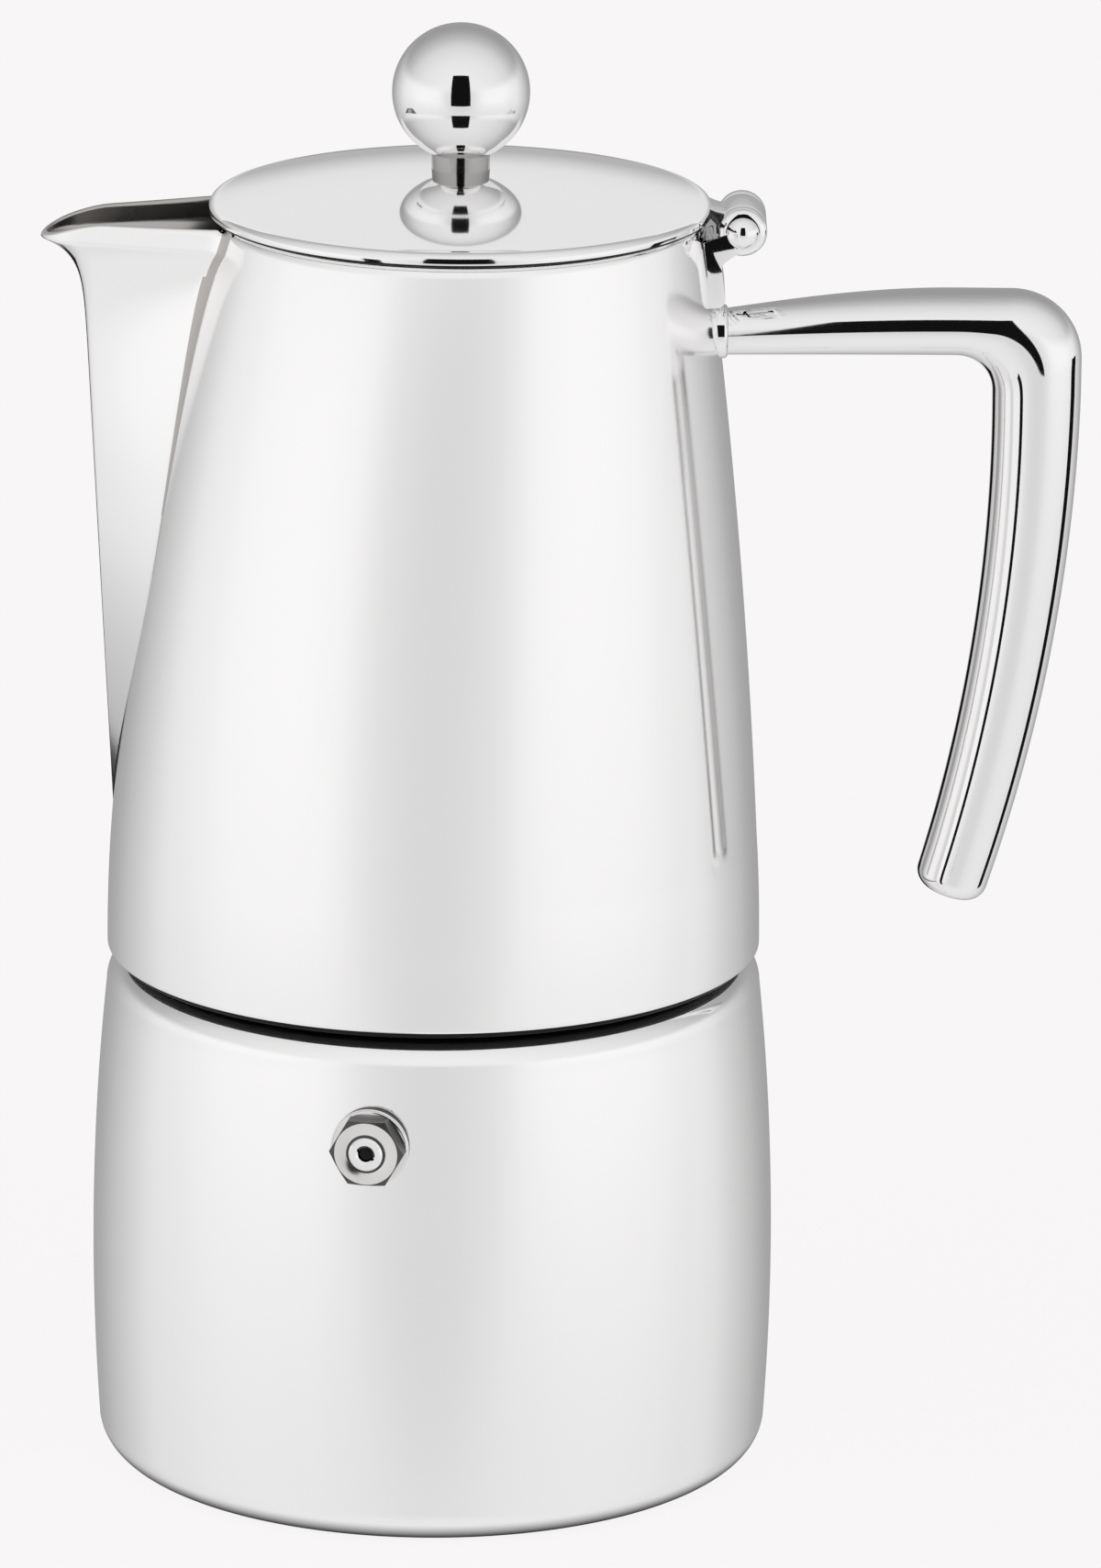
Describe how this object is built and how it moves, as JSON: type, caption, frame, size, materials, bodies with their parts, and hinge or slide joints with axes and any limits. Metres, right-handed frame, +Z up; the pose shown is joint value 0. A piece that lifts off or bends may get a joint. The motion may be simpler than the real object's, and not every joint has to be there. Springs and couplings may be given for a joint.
{
  "type": "moka pot",
  "caption": "Stove-top moka pot in polished steel: boiler and jug screw together, with a pointed spout, hinged lid with ball knob, bent handle and sprung safety valve.",
  "frame": {"origin": "middle of the boiler's flat underside", "axes": "+Z up along the boiler's axis, +X towards the handle, -X towards the spout"},
  "size_m": [0.15, 0.1031, 0.2135],
  "materials": {
    "polished_steel": "mirror polished",
    "satin_steel": "satin",
    "valve_fittings": "machined",
    "silicone": "matt"
  },
  "bodies": {
    "boiler": {"boiler_shell": "polished_steel", "boiler_neck": "satin_steel", "valve_body": "polished_steel", "valve_washer": "polished_steel", "valve_nut": "valve_fittings", "valve_seat": "valve_fittings", "valve_spring": "valve_fittings", "funnel_basket": "satin_steel", "funnel_stem": "satin_steel", "funnel_sieve": "satin_steel"},
    "valve_plunger": {"valve_plunger": "valve_fittings"},
    "filter_seal": {"gasket": "silicone", "filter_plate": "satin_steel"},
    "jug": {"jug_shell": "polished_steel", "spout": "polished_steel", "jug_floor": "satin_steel", "jug_thread_ring": "satin_steel", "riser_tube": "satin_steel", "riser_cap": "satin_steel", "hinge_lug": "polished_steel", "hinge_pin": "polished_steel", "handle_collar": "polished_steel", "handle": "polished_steel"},
    "lid": {"lid_shell": "polished_steel", "lid_tongue": "polished_steel", "knob": "polished_steel", "knob_washer": "satin_steel", "knob_screw": "satin_steel"}
  },
  "joints": [
    {"name": "jug_screw_lift", "type": "slide", "parent": "boiler", "child": "filter_seal", "axis": [0, 0, 1], "range_m": [0, 0.009]},
    {"name": "jug_screw_turn", "type": "hinge", "parent": "filter_seal", "child": "jug", "pos_m": [0, 0, 0.08], "axis": [0, 0, 1], "range_deg": [0, 1080]},
    {"name": "lid_hinge", "type": "hinge", "parent": "jug", "child": "lid", "pos_m": [0.044, 0, 0.1846], "axis": [0, 1, 0], "range_deg": [0, 105]},
    {"name": "valve_lift", "type": "slide", "parent": "boiler", "child": "valve_plunger", "axis": [-0.1685, -0.9857, 0], "range_m": [0, 0.0015], "stiffness_N_per_m": 1200, "springref_m": -0.0011, "deforming": ["valve_spring"]}
  ],
  "couplings": [
    {"joint": "jug_screw_lift", "follows": "jug_screw_turn", "m_per_rad": 0.00047746}
  ]
}
